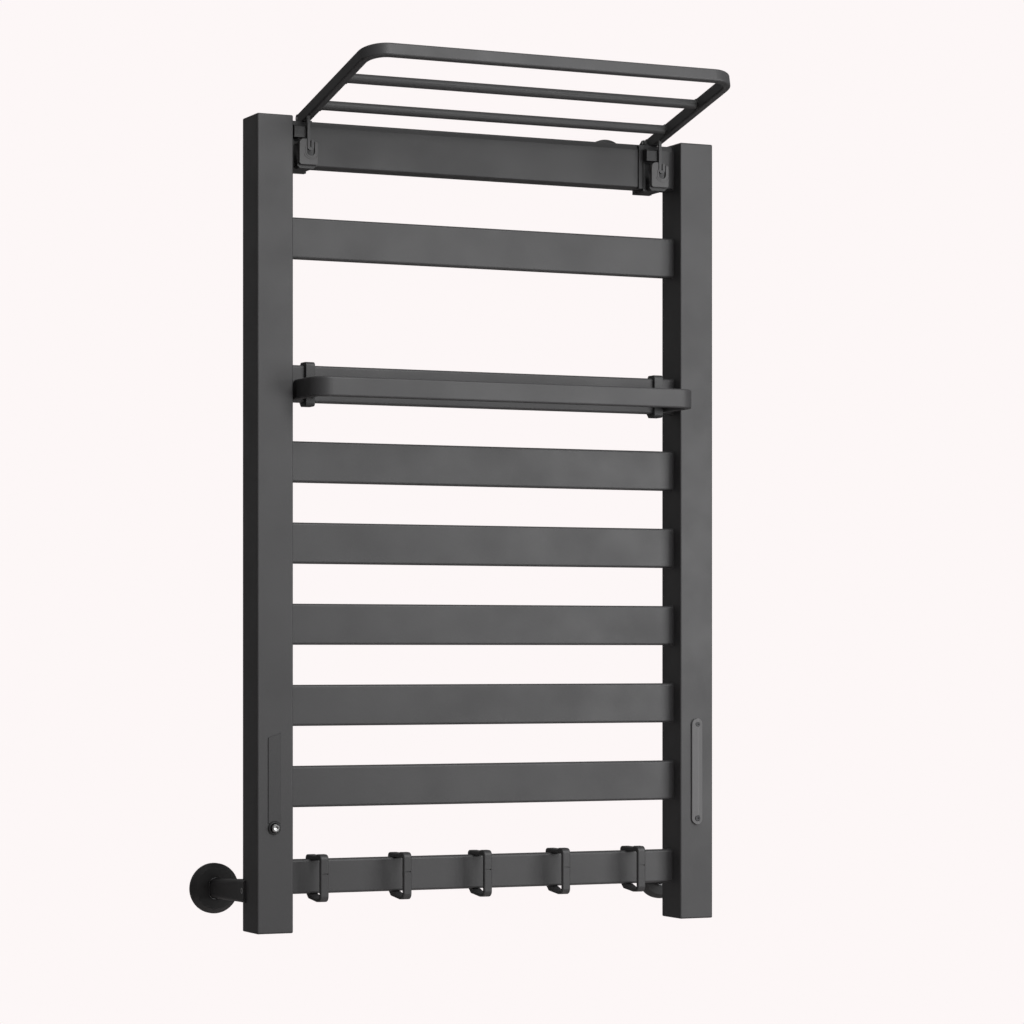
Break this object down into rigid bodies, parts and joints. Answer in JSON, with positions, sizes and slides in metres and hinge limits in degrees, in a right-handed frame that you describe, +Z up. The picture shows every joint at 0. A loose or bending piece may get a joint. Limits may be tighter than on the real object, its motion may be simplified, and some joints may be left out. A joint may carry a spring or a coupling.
{
  "type": "electric towel warmer rack",
  "caption": "Wall-hung ladder towel warmer with flat rails, a fold-up rod shelf, a swing-up towel bar and sliding ring hooks.",
  "frame": {"origin": "midway between the two lower wall screws, on the wall plane", "axes": "+X to the right seen from the front, +Y into the wall, +Z up"},
  "size_m": [0.5536, 0.2804, 0.8488],
  "materials": {
    "post_coat": "fine matt powder coat",
    "rail_coat": "fine matt powder coat",
    "hinge_rail_coat": "fine matt powder coat",
    "shelf_coat": "fine matt powder coat",
    "bar_coat": "fine matt powder coat",
    "bracket_coat": "matt powder coat",
    "cradle_coat": "satin powder coat",
    "clip_plastic": "moulded, fine texture",
    "hook_plastic": "moulded, fine texture",
    "cap_plastic": "moulded, fine texture",
    "stem_coat": "matt powder coat",
    "rosette_coat": "matt powder coat",
    "zinc_casting": "bare zinc casting",
    "pin_steel": "ground",
    "screw_steel": "bright",
    "black_screw_steel": "black oxide",
    "strip_coat": "matt powder coat",
    "trim_satin": "satin",
    "button_metal": "polished cap",
    "bezel_plastic": "moulded, satin",
    "carrier_plastic": "natural",
    "board_laminate": "solder mask",
    "heater_steel": "drawn sheath",
    "strip_foil": "foil faced",
    "lead_insulation": "silicone",
    "cutout_case": "phenolic",
    "gland_plastic": "moulded"
  },
  "bodies": {
    "rack": {"bar_pins": "pin_steel", "bracket_screws": "screw_steel", "button_bezel": "bezel_plastic", "cable_gland": "gland_plastic", "controller_board": "board_laminate", "controller_carrier": "carrier_plastic", "gland_nut": "gland_plastic", "grub_screws": "screw_steel", "hinge_pins": "pin_steel", "hinge_rail": "hinge_rail_coat", "internal_wiring": "lead_insulation", "left_bar_clip": "clip_plastic", "left_cradle": "cradle_coat", "left_heater_rod": "heater_steel", "left_hinge_bracket": "bracket_coat", "left_post": "post_coat", "left_post_bottom_cap": "cap_plastic", "left_post_top_cap": "cap_plastic", "left_trim_strip": "strip_coat", "lower_left_rosette": "rosette_coat", "lower_left_stem": "stem_coat", "lower_right_rosette": "rosette_coat", "lower_right_stem": "stem_coat", "rail_2": "rail_coat", "rail_3": "rail_coat", "rail_4": "rail_coat", "rail_5": "rail_coat", "rail_6": "rail_coat", "rail_7": "rail_coat", "rail_8": "rail_coat", "rail_9": "rail_coat", "rail_heating_strips": "strip_foil", "right_bar_clip": "clip_plastic", "right_cradle": "cradle_coat", "right_heater_rod": "heater_steel", "right_hinge_bracket": "bracket_coat", "right_post": "post_coat", "right_post_bottom_cap": "cap_plastic", "right_post_top_cap": "cap_plastic", "right_trim_plate": "trim_satin", "stem_screws": "screw_steel", "thermal_cutout": "cutout_case", "trim_screws": "black_screw_steel", "upper_left_rosette": "rosette_coat", "upper_left_stem": "stem_coat", "upper_right_rosette": "rosette_coat", "upper_right_stem": "stem_coat", "wall_sleeves": "zinc_casting"},
    "folding_shelf": {"shelf_frame": "shelf_coat", "shelf_rod_1": "shelf_coat", "shelf_rod_2": "shelf_coat", "left_shelf_leg": "shelf_coat", "right_shelf_leg": "shelf_coat"},
    "swing_bar": {"towel_bar": "bar_coat"},
    "button": {"power_button": "button_metal"},
    "hook_1": {"ring_hook_1": "hook_plastic"},
    "hook_2": {"ring_hook_2": "hook_plastic"},
    "hook_3": {"ring_hook_3": "hook_plastic"},
    "hook_4": {"ring_hook_4": "hook_plastic"},
    "hook_5": {"ring_hook_5": "hook_plastic"}
  },
  "joints": [
    {"name": "shelf_fold", "type": "hinge", "parent": "rack", "child": "folding_shelf", "pos_m": [0, -0.094, 0.7647], "axis": [-1, 0, 0], "range_deg": [0, 80]},
    {"name": "towel_bar_fold", "type": "hinge", "parent": "rack", "child": "swing_bar", "pos_m": [0, -0.1195, 0.495], "axis": [-1, 0, 0], "range_deg": [0, 91]},
    {"name": "button_press", "type": "slide", "parent": "rack", "child": "button", "axis": [0, 1, 0], "range_m": [0, 0.001], "stiffness_N_per_m": 350, "springref_m": -0.002},
    {"name": "hook_1_slide", "type": "slide", "parent": "rack", "child": "hook_1", "axis": [1, 0, 0], "range_m": [-0.024, 0.035]},
    {"name": "hook_2_slide", "type": "slide", "parent": "rack", "child": "hook_2", "axis": [1, 0, 0], "range_m": [-0.035, 0.035]},
    {"name": "hook_3_slide", "type": "slide", "parent": "rack", "child": "hook_3", "axis": [1, 0, 0], "range_m": [-0.035, 0.035]},
    {"name": "hook_4_slide", "type": "slide", "parent": "rack", "child": "hook_4", "axis": [1, 0, 0], "range_m": [-0.035, 0.035]},
    {"name": "hook_5_slide", "type": "slide", "parent": "rack", "child": "hook_5", "axis": [1, 0, 0], "range_m": [-0.035, 0.038]}
  ]
}
